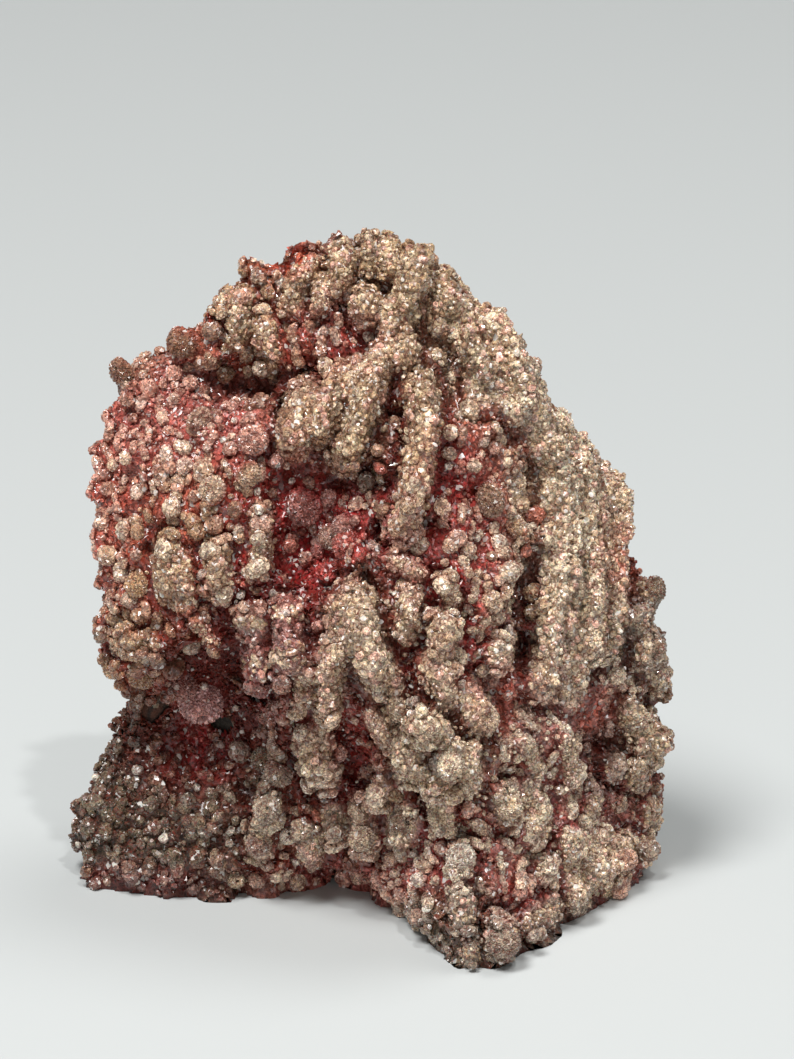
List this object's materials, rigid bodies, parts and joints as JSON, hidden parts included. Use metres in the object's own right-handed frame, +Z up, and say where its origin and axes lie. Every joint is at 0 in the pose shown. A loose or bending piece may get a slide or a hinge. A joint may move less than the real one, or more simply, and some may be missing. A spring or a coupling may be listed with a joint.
{
  "type": "botryoidal chalcedony on matrix",
  "caption": "Palm-sized mineral specimen: a beaded and rodded chalcedony crust over a dark matrix rock, standing on a flat broken base.",
  "frame": {"origin": "on the floor, under the middle of the stone's outer box", "axes": "+Z up as the stone stands, front of the crust towards -Y, +X to the right seen from the front"},
  "size_m": [0.0634, 0.04, 0.0699],
  "materials": {
    "matrix_rock": "dull dark olive-brown broken rock, rough to the touch",
    "chalcedony": "glassy to sparkling drusy chalcedony, deep red in the hollows and tan on the beads"
  },
  "bodies": {
    "root": {"matrix_rock": "matrix_rock", "chalcedony_crust": "chalcedony"}
  },
  "joints": []
}
